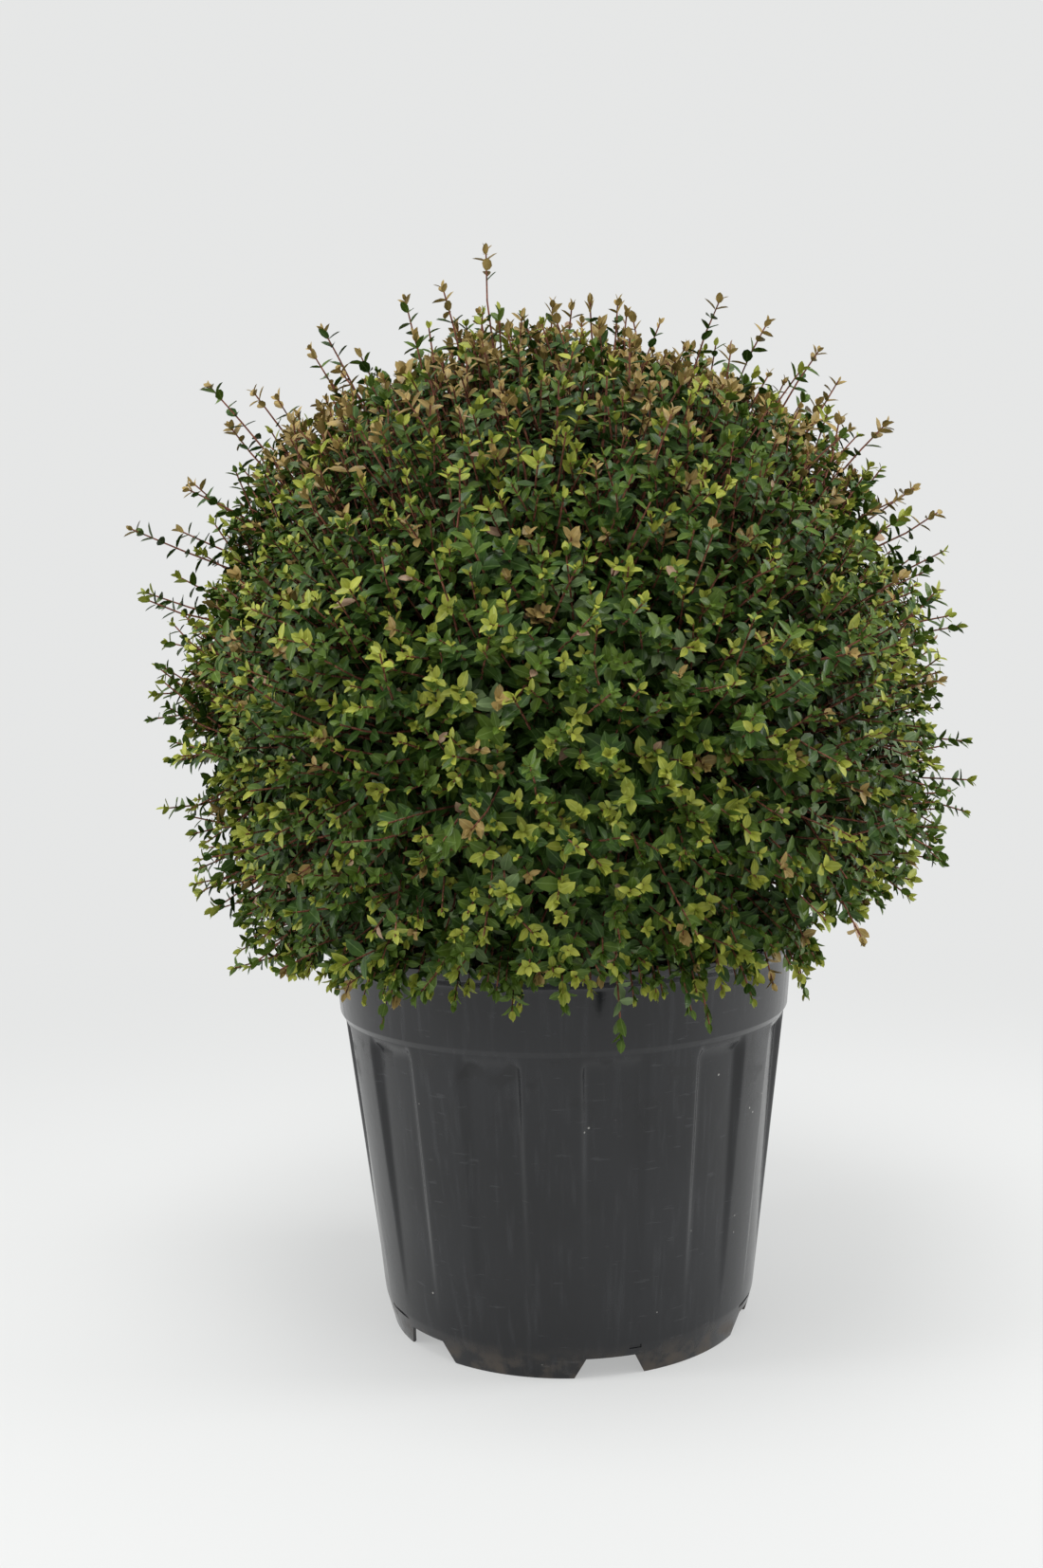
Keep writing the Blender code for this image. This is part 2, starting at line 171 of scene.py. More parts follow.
def add_object(name, mesh, finish):
    """Put a finished mesh in the scene with its material."""
    made = bpy.data.objects.new(name, mesh)
    mesh.materials.clear()
    mesh.materials.append(finish.material)
    bpy.context.scene.collection.objects.link(made)
    return made


def mesh_from_arrays(name, places, faces):
    """Make a smooth mesh from numpy rows of places and of equal-sided faces."""
    mesh = bpy.data.meshes.new(name)
    sides = faces.shape[1]
    mesh.vertices.add(len(places))
    mesh.vertices.foreach_set("co", np.ascontiguousarray(places, dtype=np.float32).ravel())
    mesh.loops.add(faces.size)
    mesh.loops.foreach_set("vertex_index", faces.astype(np.int32).ravel())
    mesh.polygons.add(len(faces))
    mesh.polygons.foreach_set("loop_start", np.arange(0, faces.size, sides, dtype=np.int32))
    mesh.update(calc_edges=True)
    mesh.shade_smooth()
    return mesh


def tube_faces(tubes, rings, sides):
    """Faces of many tubes whose corners are numbered tube, ring, side."""
    tube, ring, side = np.meshgrid(
        np.arange(tubes), np.arange(rings - 1), np.arange(sides), indexing="ij"
    )
    beside = (side + 1) % sides
    lower = (tube * rings + ring) * sides
    upper = lower + sides
    corners = (lower + side, lower + beside, upper + beside, upper + side)
    return np.stack(corners, axis=-1).reshape(-1, 4)


MERGE_DISTANCE = 0.00001


def closed_mesh(name, places, faces):
    """Make a mesh whose poles are merged and whose faces point outwards."""
    mesh = mesh_from_arrays(name, places, faces)
    shape = bmesh.new()
    shape.from_mesh(mesh)
    bmesh.ops.remove_doubles(shape, verts=shape.verts[:], dist=MERGE_DISTANCE)
    bmesh.ops.recalc_face_normals(shape, faces=shape.faces[:])
    shape.to_mesh(mesh)
    shape.free()
    return mesh


def turned(radii, angles, heights):
    """Places at radii, angles and heights round the upright axis."""
    flat = (radii * np.cos(angles), radii * np.sin(angles))
    return np.stack(np.broadcast_arrays(*flat, heights), axis=-1)


FLUTES = 12
FLUTE_PITCH = 360.0 / FLUTES
FLUTE_DEPTH = 0.0042
FLUTE_AZIMUTH = math.radians(-79.5)
FLUTE_TOP = 0.1885
FLUTE_FULL_BELOW = 0.1815
FLUTE_FOOT = 0.026
FLUTE_FLOOR_ANGLE = 6.2
FLUTE_EDGE_ANGLE = 8.5
FLUTE_COLUMN_ANGLES = (0.0, 3.0, 5.2, 6.2, 6.7, 7.2, 7.7, 8.2, 8.7, 9.6, 12.0)

WALL_BEYOND = 0.1
LONGEST_ROW_OUTSIDE = 0.0035
LONGEST_ROW_INSIDE = 0.0120
CREASE_ANGLE = math.radians(38.0)

# Section of the pot from the middle of its underside, round the wall and back: radius, height
# and the radius that rounds the corner.
POT_SECTION = (
    (0.0, 0.0147, 0.0),
    (0.1100, 0.0147, 0.0008),
    (0.1058, 0.0, 0.0007),
    (0.1080, 0.0, 0.0007),
    (0.1131, 0.0190, 0.0150),
    (0.1334, 0.1893, 0.0010),
    (0.1355, 0.1928, 0.0014),
    (0.1385, 0.2275, 0.0040),
    (0.1474, 0.2325, 0.0040),
    (0.1500, 0.2380, 0.0012),
    (0.1492, 0.2400, 0.0008),
    (0.1465, 0.2400, 0.0010),
    (0.1450, 0.2360, 0.0020),
    (0.1367, 0.2285, 0.0040),
    (0.1337, 0.1928, 0.0014),
    (0.1316, 0.1893, 0.0010),
    (0.1111, 0.0165, 0.0010),
    (0.0, 0.0165, 0.0),
)


def rounded_section(corners, steps=5):
    """Walk round a section, turning each corner by an arc."""
    corners = [Vector((radius, height, turn)) for radius, height, turn in corners]
    line = [corners[0].xy]
    for before, corner, after in zip(corners, corners[1:], corners[2:]):
        back = (before.xy - corner.xy).normalized()
        ahead = (after.xy - corner.xy).normalized()
        half_angle = 0.5 * back.angle(ahead)
        shorter = min((before.xy - corner.xy).length, (after.xy - corner.xy).length)
        setback = min(corner.z / math.tan(half_angle), 0.45 * shorter)
        start = corner.xy + back * setback
        end = corner.xy + ahead * setback
        for step in range(steps + 1):
            share = step / steps
            line.append(start.lerp(corner.xy, share).lerp(corner.xy.lerp(end, share), share))
    line.append(corners[-1].xy)
    return line


def divided(line, longest_outside, longest_inside):
    """Divide the line's long stretches, finely up the outside and coarsely inside."""
    highest = max(range(len(line)), key=lambda i: line[i].y)
    rows = [line[0]]
    for index, (start, end) in enumerate(zip(line, line[1:])):
        longest = longest_outside if index < highest else longest_inside
        count = max(1, math.ceil((end - start).length / longest))
        rows += [start.lerp(end, step / count) for step in range(1, count + 1)]
    return np.array([tuple(row) for row in rows])


def smooth_step(share):
    """Rise smoothly from 0 to 1."""
    share = np.clip(share, 0.0, 1.0)
    return share * share * (3.0 - 2.0 * share)


def flute_press(degrees, heights):
    """Depth of the flutes at angles from a flute's middle and at heights."""
    aside = (np.abs(degrees) - FLUTE_FLOOR_ANGLE) / (FLUTE_EDGE_ANGLE - FLUTE_FLOOR_ANGLE)
    above = (heights - FLUTE_FULL_BELOW) / (FLUTE_TOP - FLUTE_FULL_BELOW)
    outside = np.hypot(np.clip(aside, 0.0, 1.0), np.clip(above, 0.0, 1.0))
    fade = np.clip((heights - FLUTE_FOOT) / (FLUTE_FULL_BELOW - FLUTE_FOOT), 0.0, 1.0)
    return FLUTE_DEPTH * fade * (1.0 - smooth_step(outside))


def pot_mesh():
    """Turn the section through the flutes' columns and press the flutes in."""
    section = divided(rounded_section(POT_SECTION), LONGEST_ROW_OUTSIDE, LONGEST_ROW_INSIDE)
    radius, height = section[:, 0:1], section[:, 1:2]
    half = list(FLUTE_COLUMN_ANGLES)
    within = np.array([-angle for angle in reversed(half[1:])] + half + [0.5 * FLUTE_PITCH])
    columns = np.concatenate([within + FLUTE_PITCH * flute for flute in range(FLUTES)])
    from_flute = np.tile(within, FLUTES)
    radii = radius - flute_press(from_flute[None, :], height) * (radius > WALL_BEYOND)
    places = turned(radii, np.radians(columns)[None, :] + FLUTE_AZIMUTH, height)
    return closed_mesh("pot_shell", places.reshape(-1, 3), tube_faces(1, *radii.shape))


NOTCHES = 6
NOTCH_HEIGHT = 0.0125
NOTCH_HALF_TOP = 0.0140
NOTCH_HALF_BELOW = 0.02173
NOTCH_BOTTOM = -0.003
NOTCH_INSIDE = 0.097
CUT_OUTSIDE = 0.118
SLIT_INSIDE = 0.1118
SLIT_RADIUS = 0.113
SLIT_HEIGHTS = (0.0166, 0.0188)
SLIT_TURNS = (  # each drain slit's two ends, in degrees from the front
    (-70.0, -58.0),
    (15.8, 19.4),
    (61.0, 72.0),
)


def foot_cutter():
    """Blocks with leaning ends for the notches and thin bars for the drain slits."""
    shape = bmesh.new()
    for index in range(NOTCHES):
        turn = Matrix.Rotation(FLUTE_AZIMUTH + index * math.tau / NOTCHES, 4, "Z")
        for vertex in bmesh.ops.create_cube(shape, size=1.0)["verts"]:
            at_top = vertex.co.z > 0.0
            half, height = (
                (NOTCH_HALF_TOP, NOTCH_HEIGHT) if at_top else (NOTCH_HALF_BELOW, NOTCH_BOTTOM)
            )
            radius = CUT_OUTSIDE if vertex.co.x > 0.0 else NOTCH_INSIDE
            vertex.co = turn @ Vector((radius, math.copysign(half, vertex.co.y), height))
    for start, end in SLIT_TURNS:
        middle = math.radians(0.5 * (start + end) - 90.0)
        half = SLIT_RADIUS * math.radians(0.5 * (end - start))
        turn = Matrix.Rotation(middle, 4, "Z")
        for vertex in bmesh.ops.create_cube(shape, size=1.0)["verts"]:
            radius = CUT_OUTSIDE if vertex.co.x > 0.0 else SLIT_INSIDE
            height = SLIT_HEIGHTS[1] if vertex.co.z > 0.0 else SLIT_HEIGHTS[0]
            vertex.co = turn @ Vector((radius, math.copysign(half, vertex.co.y), height))
    mesh = bpy.data.meshes.new("foot_cutter")
    bmesh.ops.recalc_face_normals(shape, faces=shape.faces[:])
    shape.to_mesh(mesh)
    shape.free()
    made = bpy.data.objects.new("foot_cutter", mesh)
    bpy.context.scene.collection.objects.link(made)
    return made


CHARCOAL = ((0.0045, 0.0050, 0.0062), (0.0090, 0.0098, 0.0118))
DRIED_RUN = (0.034, 0.036, 0.040)
# Painted shade: the dark tone of the blots on the wall under the ledge.
UNDER_LEDGE_SHADE = (0.0040, 0.0042, 0.0050)
SCUFFED = (0.075, 0.078, 0.084)
LIME_SPECK = (0.34, 0.33, 0.31)
SPLASHED_SOIL = (0.085, 0.066, 0.048)


def charcoal_plastic():
    """Satin charcoal plastic with dust, run marks, painted shade in blots under the ledge, specks
    and soil at the foot.
    """
    finish = Finish("charcoal_plastic", 0.28, 0.48)
    height = finish.node("ShaderNodeSeparateXYZ", None, {0: finish.place}, output="Z")
    cloud = finish.grain(11.0, 4.0)
    fine = finish.grain(190.0, 3.0)
    runs = finish.grain(1.0, 4.0, finish.stretched(260.0, 260.0, 9.0)).ramp(0.50, 0.74)
    # Painted shade: blotchy darkening of the wall just under the collar ledge, where shade falls;
    # the blots are also rougher.
    under_ledge_band = height.ramp(0.120, 0.183) * (1.0 - height.ramp(0.186, 0.190))
    shade_blots = finish.grain(70.0, 5.0).ramp(0.50, 0.66) * under_ledge_band
    speck = 1.0 - finish.node(
        "ShaderNodeTexVoronoi", None, {"Vector": finish.place, "Scale": 95.0}, output="Distance"
    ).ramp(0.045, 0.075)
    rare = finish.grain(38.0, 1.0).ramp(0.56, 0.60)
    soil = (1.0 - height.ramp(0.004, 0.022)) * finish.grain(85.0, 4.0).ramp(0.40, 0.66)
    scuff = finish.grain(1.0, 3.0, finish.stretched(60.0, 60.0, 420.0)).ramp(0.66, 0.72)
    plain = finish.blend(cloud.ramp(0.35, 0.70), *CHARCOAL)
    streaked = finish.blend(runs * 0.30, plain, DRIED_RUN)
    shade_blotted = finish.blend(shade_blots * 0.70, streaked, UNDER_LEDGE_SHADE)
    scuffed = finish.blend(scuff * 0.22, shade_blotted, SCUFFED)
    specked = finish.blend(speck * rare * 0.75, scuffed, LIME_SPECK)
    finish.colour(finish.blend(soil * 0.55, specked, SPLASHED_SOIL))
    dull = 0.13 + 0.07 * cloud + 0.10 * runs + 0.20 * shade_blots + 0.30 * soil
    finish.roughness(dull + 0.06 * fine)
    finish.relief(fine * 0.5 + cloud * 0.5, 0.00012)
    return finish


pot = add_object("nursery_pot", pot_mesh(), charcoal_plastic())
cutter = foot_cutter()
cut = pot.modifiers.new("foot", "BOOLEAN")
cut.operation = "DIFFERENCE"
cut.solver = "EXACT"
cut.object = cutter
evaluated_pot = pot.evaluated_get(bpy.context.evaluated_depsgraph_get())
cut_mesh = bpy.data.meshes.new_from_object(evaluated_pot)
pot.modifiers.clear()
pot.data = cut_mesh
pot.data.shade_smooth()
pot.data.set_sharp_from_angle(angle=CREASE_ANGLE)
bpy.data.objects.remove(cutter, do_unlink=True)
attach(pot, "root")
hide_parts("pot")

# Compost: a crumbly dark potting mix that fills the pot to a finger's width below the rim. Its
# top is a fine disc roughened by noise, closed below by its side and bottom.
COMPOST_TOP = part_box("compost")[1][2]
COMPOST_BOTTOM = 0.195
COMPOST_RADIUS = 0.1330
COMPOST_SIDES = 96
COMPOST_RINGS = 34
CRUMB_SCALE = 110.0
CRUMB_DEPTH = 0.0022
CRUMB_COLOURS = ((0.012, 0.008, 0.005), (0.055, 0.034, 0.021))
FIBRE_COLOUR = (0.16, 0.11, 0.07)


def compost_mesh():
    """A crumbly disc with its side and bottom."""
    angles = np.arange(COMPOST_SIDES) * math.tau / COMPOST_SIDES
    radii = np.linspace(0.0, COMPOST_RADIUS, COMPOST_RINGS)
    top = turned(radii[:, None], angles[None, :], COMPOST_TOP).reshape(-1, 3)
    for place in top:
        crumb = noise.fractal(Vector(place) * CRUMB_SCALE, 1.0, 2.0, 4)
        place[2] += CRUMB_DEPTH * crumb - CRUMB_DEPTH
    edge = turned(COMPOST_RADIUS, angles, COMPOST_BOTTOM)
    middle = turned(0.0, angles, COMPOST_BOTTOM)
    faces = tube_faces(1, COMPOST_RINGS + 2, COMPOST_SIDES)
    return closed_mesh("compost_crumb", np.concatenate((top, edge, middle)), faces)


def moist_compost():
    """Dark peaty crumbs with paler fibres."""
    finish = Finish("moist_compost", 0.95, 0.2)
    crumbs = finish.grain(260.0, 5.0)
    fibres = finish.grain(1.0, 3.0, finish.stretched(900.0, 120.0, 300.0)).ramp(0.62, 0.72)
    dark = finish.blend(crumbs.ramp(0.35, 0.70), *CRUMB_COLOURS)
    finish.colour(finish.blend(fibres * 0.6, dark, FIBRE_COLOUR))
    finish.roughness(0.80 + 0.18 * crumbs)
    finish.relief(crumbs, 0.0012)
    return finish


compost = add_object("compost_fill", compost_mesh(), moist_compost())
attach(compost, "root")
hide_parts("compost")

# Stem and boughs: the short woody foot of the shrub and the limbs that leave it, with thin
# flaking bark. Each limb follows its solid's own line and is roughened lengthways.
STEM_HEAD = np.array((0.0, 0.0, 0.2425))
LIMB_SIDES = 12
LIMB_STEPS = 40
SMOOTHING_PASSES = 6
BARK_DEPTH = 0.00055
RIDGES_ROUND = 3.5
RIDGES_ALONG = 30.0
BOUGH_SIDES = 6  # of a packed bough
FLAKING_BARK = ((0.045, 0.026, 0.018), (0.20, 0.125, 0.085))
STEM_RINGS = (  # height and radius, from the compost to the head's crown
    (0.2155, 0.0270),
    (0.2180, 0.0245),
    (0.2220, 0.0222),
    (0.2270, 0.0218),
    (0.2350, 0.0252),
    (0.2425, 0.0265),
    (0.2520, 0.0250),
    (0.2600, 0.0195),
    (0.2650, 0.0130),
    (0.2690, 0.0020),
)
rng = np.random.default_rng(17)


def node_places(name):
    """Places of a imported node's corners, each once."""
    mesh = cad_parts[name].data
    places = np.empty(3 * len(mesh.vertices))
    mesh.vertices.foreach_get("co", places)
    return np.unique(places.reshape(-1, 3).round(6), axis=0)


def limb_line(name):
    """Middle line and radii of a bough, from its rings of corners."""
    places = node_places(name)
    nearest_first = places[np.argsort(np.linalg.norm(places - STEM_HEAD, axis=1))]
    whole = len(nearest_first) // BOUGH_SIDES * BOUGH_SIDES
    rings = nearest_first[:whole].reshape(-1, BOUGH_SIDES, 3)
    middles = rings.mean(axis=1)
    radii = np.linalg.norm(rings - middles[:, None, :], axis=2).mean(axis=1)
    return middles, radii


def resampled(line, steps):
    """A smooth line through given points, evenly divided."""
    spans = np.linalg.norm(np.diff(line[:, :3], axis=0), axis=1)
    reached = np.concatenate(([0.0], np.cumsum(spans)))
    even = np.linspace(0.0, reached[-1], steps)
    drawn = np.stack([np.interp(even, reached, values) for values in line.T], axis=1)
    for _ in range(SMOOTHING_PASSES):
        drawn[1:-1] = 0.25 * drawn[:-2] + 0.5 * drawn[1:-1] + 0.25 * drawn[2:]
    return drawn


def side_vectors(tangents):
    """Two unit vectors square to each tangent."""
    helper = np.where(np.abs(tangents[..., 2:3]) < 0.9, (0.0, 0.0, 1.0), (1.0, 0.0, 0.0))
    first = np.cross(tangents, helper)
    first /= np.linalg.norm(first, axis=-1, keepdims=True)
    return first, np.cross(tangents, first)


def round_line(angles, first, second):
    """Unit vectors at angles round a line, from two vectors square to it."""
    return np.cos(angles)[..., None] * first + np.sin(angles)[..., None] * second


def limb_places(line, radii):
    """Corners of one limb with ridged bark."""
    tangents = np.gradient(line, axis=0)
    tangents /= np.linalg.norm(tangents, axis=1, keepdims=True)
    first, second = side_vectors(tangents)
    angles = np.arange(LIMB_SIDES) * math.tau / LIMB_SIDES
    rows = []
    for place, radius, *square in zip(line, radii, first, second):
        for out in round_line(angles, *square):
            ridge = noise.noise(Vector(out * RIDGES_ROUND + place * RIDGES_ALONG))
            rows.append(place + out * (radius + BARK_DEPTH * ridge))
    return np.array(rows)


def stem_line():
    """The stem's middle line and radii, evenly divided."""
    heights, radii = np.array(STEM_RINGS).T
    upright = np.zeros(len(heights))
    return resampled(np.stack((upright, upright, heights, radii), axis=1), LIMB_STEPS)


def bark_finish(name, dark, pale, scale):
    """Thin bark, dark in its cracks and paler where it flakes."""
    finish = Finish(name, 0.75, 0.3)
    strips = finish.grain(1.0, 5.0, finish.stretched(scale, scale, 0.35 * scale))
    flakes = finish.grain(0.4 * scale, 3.0)
    finish.colour(finish.blend((0.6 * strips + 0.4 * flakes).ramp(0.36, 0.64), dark, pale))
    finish.roughness(0.60 + 0.30 * strips)
    finish.relief(strips, 0.0004)
    return finish


bough_names = sorted(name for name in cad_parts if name.startswith("bough_"))
limbs = [stem_line()]
heels = {}
for bough_name in bough_names:
    bough_middles, bough_radii = limb_line(bough_name)
    heels[bough_name] = bough_middles[-1]
    limbs.append(resampled(np.column_stack((bough_middles, bough_radii)), LIMB_STEPS))
wood_places = np.concatenate([limb_places(limb[:, :3], limb[:, 3]) for limb in limbs])
wood = add_object(
    "woody_limbs",
    mesh_from_arrays("woody_limbs", wood_places, tube_faces(len(limbs), LIMB_STEPS, LIMB_SIDES)),
    bark_finish("flaking_bark", *FLAKING_BARK, 240.0),
)
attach(wood, "root")
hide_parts("stem", *bough_names)

# Sprays: where each leafy spray starts and ends. Tips are dealt evenly over the crown's outline
# and at depths below it, thinner where the crown is open, and each spray leans outward and up.
UPWARD = np.array((0.0, 0.0, 1.0))
LEVEL = np.array((1.0, 1.0, 0.0))
CROWN_CENTRE = np.array((0.0, 0.0, 0.380))
CROWN_TOP = 0.622
LEAST_REACH = 0.1
OUTSIDE_CROWN = 0.5
OUTER_SPRAYS = 4600
INNER_SPRAYS = 1500
LOWEST_SINE = math.sin(math.radians(-47.0))
DIRECTION_SCATTER = 0.028
NEIGHBOUR_COSINE = math.cos(math.radians(15.0))
OWN_REACH_SHARE = 0.3
FURROW_FILL = 0.0035
THIN_PLACES = (  # share missing, then middle and width, sideways and upwards
    (0.42, 0.97, 0.16, -0.12, 0.34),
    (0.46, -0.84, 0.20, -0.46, 0.20),
)
SCATTERED_GAPS = 0.30
GAPS_ACROSS = 5.5
INNER_DEPTHS = (0.018, 0.062)
OUTER_DEPTH = 0.0080
DEEPEST_OUTER = 0.030
OUTSIDE_BY = 0.007
PROUD_SHARE = 0.15
PROUD_BY = 0.022
LEAN_ASIDE = 0.40
LEAN_UP = 0.38
LEAN_UP_FROM = -0.55
SPRAY_LENGTH = (0.066, 0.013)
SPRAY_LIMITS = (0.036, 0.100)
SHOOT_LENGTH = 0.085
PROUD_LENGTH = 0.060
PROUD_LEAN_UP = 0.25
PROUD_LEAN_UP_ABOVE = 0.5
HANGING_LENGTH = 0.050
HANGING_LEAN_DOWN = 0.35
BEND_ASIDE = 0.10
BEND_DOWN = 0.05
HEM_HEIGHT = 0.2400
HEM_LOWER_LEFT = 0.020
HEM_HIGHER_RIGHT = 0.016
HEM_SCATTER = 0.0035
RIM_TOP = 0.2430
RIM_INSIDE = 0.130
RIM_OUTSIDE = 0.154
OVER_RIM = (0.161, 0.258)  # radius and height of a hanging spray's bend
FRONT_FRINGE = 90
FRINGE_DEGREES = (-158.0, -36.0)
FRINGE_REACH = (0.161, 0.176)
FRINGE_HEIGHTS = (0.225, 0.243)
FRINGE_TIPS = (
    (0.026, -0.166, 0.206),
    (-0.099, -0.142, 0.212),
    (-0.110, -0.128, 0.222),
    (0.072, -0.160, 0.212),
    (0.062, -0.166, 0.221),
    (0.096, -0.148, 0.222),
    (0.132, -0.097, 0.213),
    (0.128, -0.108, 0.224),
    (-0.030, -0.172, 0.224),
    (-0.060, -0.165, 0.226),
)
PROUD_TIPS = (
    (-0.084, -0.010, 0.611),
    (-0.141, -0.005, 0.585),
    (-0.112, -0.004, 0.582),
    (0.002, -0.015, 0.606),
    (0.040, -0.012, 0.607),
    (0.046, 0.000, 0.603),
    (0.128, -0.006, 0.594),
    (0.170, -0.003, 0.560),
    (0.205, 0.002, 0.490),
    (0.233, 0.000, 0.459),
    (0.243, 0.004, 0.414),
    (0.245, -0.002, 0.345),
    (0.246, 0.002, 0.302),
    (0.222, -0.010, 0.287),
    (0.203, -0.010, 0.262),
    (-0.233, -0.004, 0.345),
    (-0.222, 0.002, 0.299),
    (-0.218, -0.006, 0.264),
    (-0.212, -0.002, 0.252),
    (-0.197, 0.004, 0.226),
    (-0.222, -0.002, 0.481),
    (-0.215, 0.003, 0.510),
    (-0.190, -0.002, 0.541),
    (-0.236, -0.040, 0.440),
    (-0.239, 0.030, 0.415),
    (-0.238, -0.020, 0.385),
    (-0.232, 0.045, 0.365),
    (-0.228, -0.050, 0.320),
    (-0.229, 0.020, 0.455),
    (-0.205, -0.060, 0.500),
    (-0.170, -0.040, 0.556),
    (-0.128, -0.050, 0.588),
    (-0.060, -0.060, 0.608),
    (0.095, -0.050, 0.600),
    (0.150, -0.050, 0.570),
    (0.190, -0.040, 0.530),
    (0.222, -0.030, 0.480),
    (0.238, 0.030, 0.380),
)
foliage_names = sorted(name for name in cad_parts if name.startswith(("foliage_", "shoot_")))


def crown_skin():
    """The outline of all the masses of foliage, to be met by rays."""
    corners = []
    triangles = []
    count = 0
    for name in foliage_names:
        if name.startswith("shoot_"):
            continue
        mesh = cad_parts[name].data
        mesh.calc_loop_triangles()
        corners += [vertex.co.copy() for vertex in mesh.vertices]
        triangles += [[count + corner for corner in face.vertices] for face in mesh.loop_triangles]
        count += len(mesh.vertices)
    return BVHTree.FromPolygons(corners, triangles)


def unit(vectors):
    return vectors / np.linalg.norm(vectors, axis=-1, keepdims=True)


def spread_directions(count, turn):
    """Directions spread evenly over the crown's outside, each a little off its place."""
    order = np.arange(count) + 0.5
    sine = 1.0 - order / count * (1.0 - LOWEST_SINE)
    azimuth = order * math.pi * (3.0 - math.sqrt(5.0)) + turn
    flat = np.sqrt(1.0 - sine * sine)
    even = turned(flat, azimuth, sine)
    return unit(even + rng.normal(0.0, DIRECTION_SCATTER, even.shape))


def outline_reach(directions):
    """Distance from the crown's centre to its outline in each direction."""
    skin = crown_skin()
    reach = []
    for direction in directions:
        start = Vector(CROWN_CENTRE + direction * OUTSIDE_CROWN)
        hit = skin.ray_cast(start, Vector(-direction))[0]
        reach.append(0.0 if hit is None else (hit - Vector(CROWN_CENTRE)).length)
    return np.array(reach)


def evened(directions, reach):
    """Fill the furrows between masses: each reach is drawn towards the mean of its neighbours."""
    result = reach.copy()
    for index, direction in enumerate(directions):
        near = (directions @ direction > NEIGHBOUR_COSINE) & (reach > LEAST_REACH)
        if reach[index] > LEAST_REACH:
            filled = reach[near].mean() + FURROW_FILL
            result[index] += (1.0 - OWN_REACH_SHARE) * (filled - reach[index])
    return result


def openness(directions):
    """Share of sprays missing: more at the right flank, low on the left, and in scattered gaps."""
    patches = np.array([noise.noise(Vector(direction * GAPS_ACROSS)) for direction in directions])
    missing = SCATTERED_GAPS * np.clip(patches, 0.0, 1.0)
    for share, side, width, height, rise in THIN_PLACES:
        sideways = (directions[:, 0] - side) / width
        upwards = (directions[:, 2] - height) / rise
        missing += share * np.exp(-(sideways**2) - upwards**2)
    return missing


outer = spread_directions(OUTER_SPRAYS, 0.4)
inner = spread_directions(INNER_SPRAYS, 2.1)
directions = np.concatenate((outer, inner))
reach = evened(directions, outline_reach(directions))
count = len(directions)
is_inner = np.arange(count) >= OUTER_SPRAYS
inner_depth = rng.uniform(*INNER_DEPTHS, count)
outer_depth = np.clip(rng.exponential(OUTER_DEPTH, count), 0.0, DEEPEST_OUTER)
outer_depth -= rng.uniform(0.0, OUTSIDE_BY, count)
outer_depth -= PROUD_BY * (rng.random(count) < PROUD_SHARE) * rng.uniform(0.4, 1.0, count)
depth = np.where(is_inner, inner_depth, outer_depth)
tips = CROWN_CENTRE + directions * (reach - depth)[:, None]
tips[:, 2] = np.minimum(tips[:, 2], CROWN_TOP)
sideways = unit(tips[:, :2])[:, 0]
hem = HEM_HEIGHT + HEM_LOWER_LEFT * np.clip(sideways, -1.0, 0.0)
hem += HEM_HIGHER_RIGHT * np.clip(2.2 * sideways - 1.2, 0.0, 1.0)
hem += rng.normal(0.0, HEM_SCATTER, count)
kept = (reach > LEAST_REACH) & (tips[:, 2] > hem) & (rng.random(count) > openness(directions))
directions, tips, is_inner = directions[kept], tips[kept], is_inner[kept]
lean_up = LEAN_UP * np.clip(directions[:, 2:3] - LEAN_UP_FROM, 0.0, 1.0)
lean_aside = LEAN_ASIDE * unit(rng.normal(size=directions.shape))
leans = unit(directions + lean_aside + UPWARD * lean_up)
lengths = np.clip(rng.normal(*SPRAY_LENGTH, len(tips)), *SPRAY_LIMITS)

shoot_tips = []
for shoot_name in (name for name in foliage_names if name.startswith("shoot_")):
    corners = node_places(shoot_name)
    shoot_tips.append(corners[np.argmax(np.linalg.norm(corners - CROWN_CENTRE, axis=1))])
special = np.array(shoot_tips + list(PROUD_TIPS))
special_out = unit(special - CROWN_CENTRE)
special_leans = unit(special_out + UPWARD * PROUD_LEAN_UP * (special[:, 2:3] > PROUD_LEAN_UP_ABOVE))
special_lengths = np.repeat((SHOOT_LENGTH, PROUD_LENGTH), (len(shoot_tips), len(PROUD_TIPS)))
fringe_turns = np.radians(rng.uniform(*FRINGE_DEGREES, FRONT_FRINGE))
fringe_reach = rng.uniform(*FRINGE_REACH, FRONT_FRINGE)
fringe_heights = rng.uniform(*FRINGE_HEIGHTS, FRONT_FRINGE)
hanging = np.concatenate((turned(fringe_reach, fringe_turns, fringe_heights), FRINGE_TIPS))
hanging_out = unit(hanging - CROWN_CENTRE)
hanging_leans = unit(hanging_out * np.array((1.0, 1.0, 0.6)) - UPWARD * HANGING_LEAN_DOWN)
directions = np.concatenate((directions, special_out, hanging_out))
tips = np.concatenate((tips, special, hanging))
leans = np.concatenate((leans, special_leans, hanging_leans))
lengths = np.concatenate((lengths, special_lengths, np.full(len(hanging), HANGING_LENGTH)))
is_inner = np.concatenate((is_inner, np.zeros(len(special) + len(hanging), dtype=bool)))
bases = tips - leans * lengths[:, None]
bends = 0.5 * (bases + tips) + unit(rng.normal(size=tips.shape)) * (BEND_ASIDE * lengths[:, None])
bends[:, 2] -= BEND_DOWN * lengths
bends[-len(hanging) :] = unit(hanging * LEVEL) * OVER_RIM[0] + UPWARD * OVER_RIM[1]


def along(starts, middles, ends, shares):
    """Places and tangents on curves with three control points, at one share for each."""
    shares = shares[..., None]
    rest = 1.0 - shares
    places = rest * rest * starts + 2.0 * rest * shares * middles + shares * shares * ends
    return places, unit(2.0 * rest * (middles - starts) + 2.0 * shares * (ends - middles))


